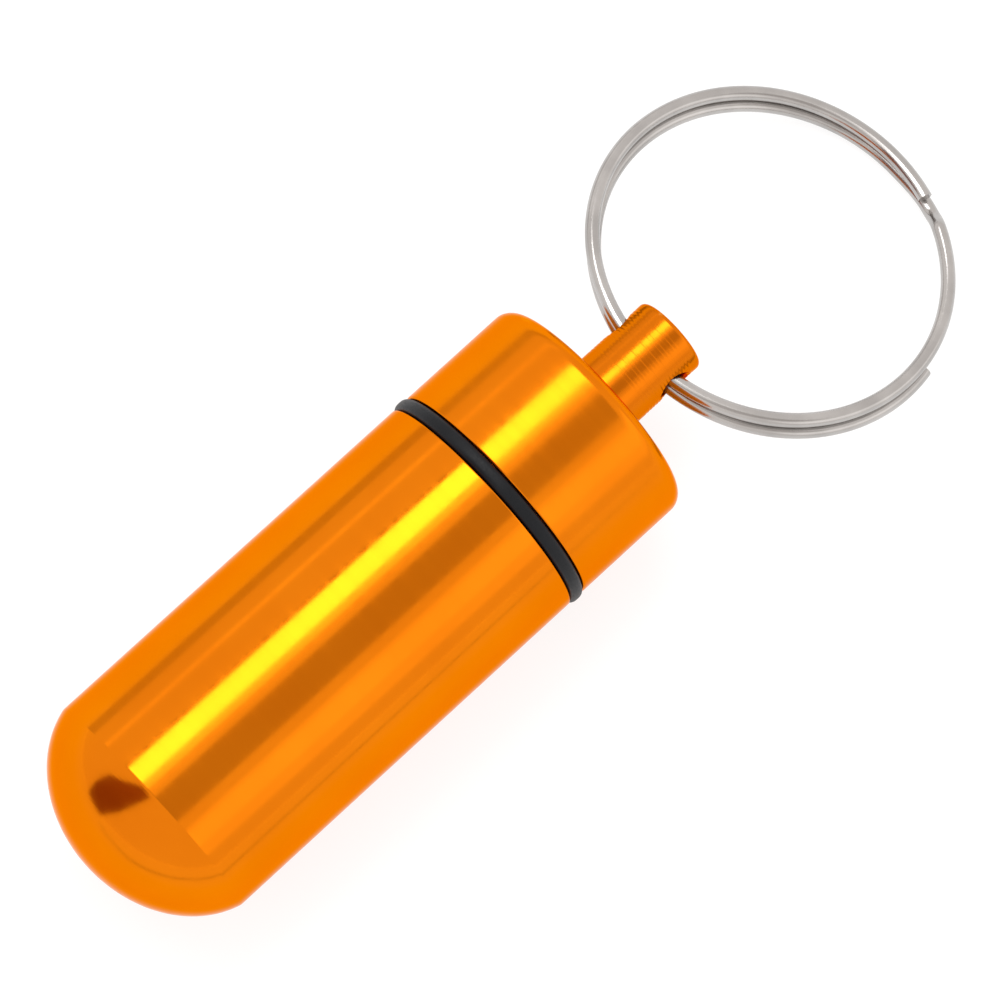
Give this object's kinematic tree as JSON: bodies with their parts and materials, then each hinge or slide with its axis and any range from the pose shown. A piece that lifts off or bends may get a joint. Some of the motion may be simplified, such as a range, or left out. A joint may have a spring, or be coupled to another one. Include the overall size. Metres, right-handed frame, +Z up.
{
  "type": "travel pill organizer",
  "caption": "Key-ring pill capsule: domed aluminium tube, screw cap with a drilled stem, rubber seal ring and a split ring.",
  "frame": {"origin": "On the surface the capsule lies on, under the capsule's axis, midway along the object's length", "axes": "+X along the capsule's axis from the domed end to the cap and key ring, +Z up, +Y along the cross hole in the stem"},
  "size_m": [0.0734, 0.026, 0.0173],
  "materials": {
    "orange_anodised": "bright dyed anodising over fine turning marks",
    "black_rubber": "smooth satin moulded rubber",
    "nickel_plated_steel": "polished nickel plating on spring-steel wire"
  },
  "bodies": {
    "tube_body": {"tube": "orange_anodised"},
    "seal": {"o_ring": "black_rubber"},
    "cap_body": {"cap": "orange_anodised"},
    "key_ring": {"split_ring": "nickel_plated_steel"}
  },
  "joints": [
    {"name": "cap_rise", "type": "slide", "parent": "tube_body", "child": "seal", "axis": [1, 0, 0], "range_m": [0, 0.0075]},
    {"name": "cap_unscrew", "type": "hinge", "parent": "seal", "child": "cap_body", "pos_m": [-0.00143, 0, 0.00863], "axis": [1, 0, 0], "range_deg": [0, 2160]},
    {"name": "ring_swing", "type": "hinge", "parent": "cap_body", "child": "key_ring", "pos_m": [0.01274, 0, 0.00863], "axis": [0, -1, 0], "range_deg": [-137, 174]}
  ],
  "couplings": [
    {"joint": "cap_rise", "follows": "cap_unscrew", "m_per_rad": 0.00019894}
  ]
}
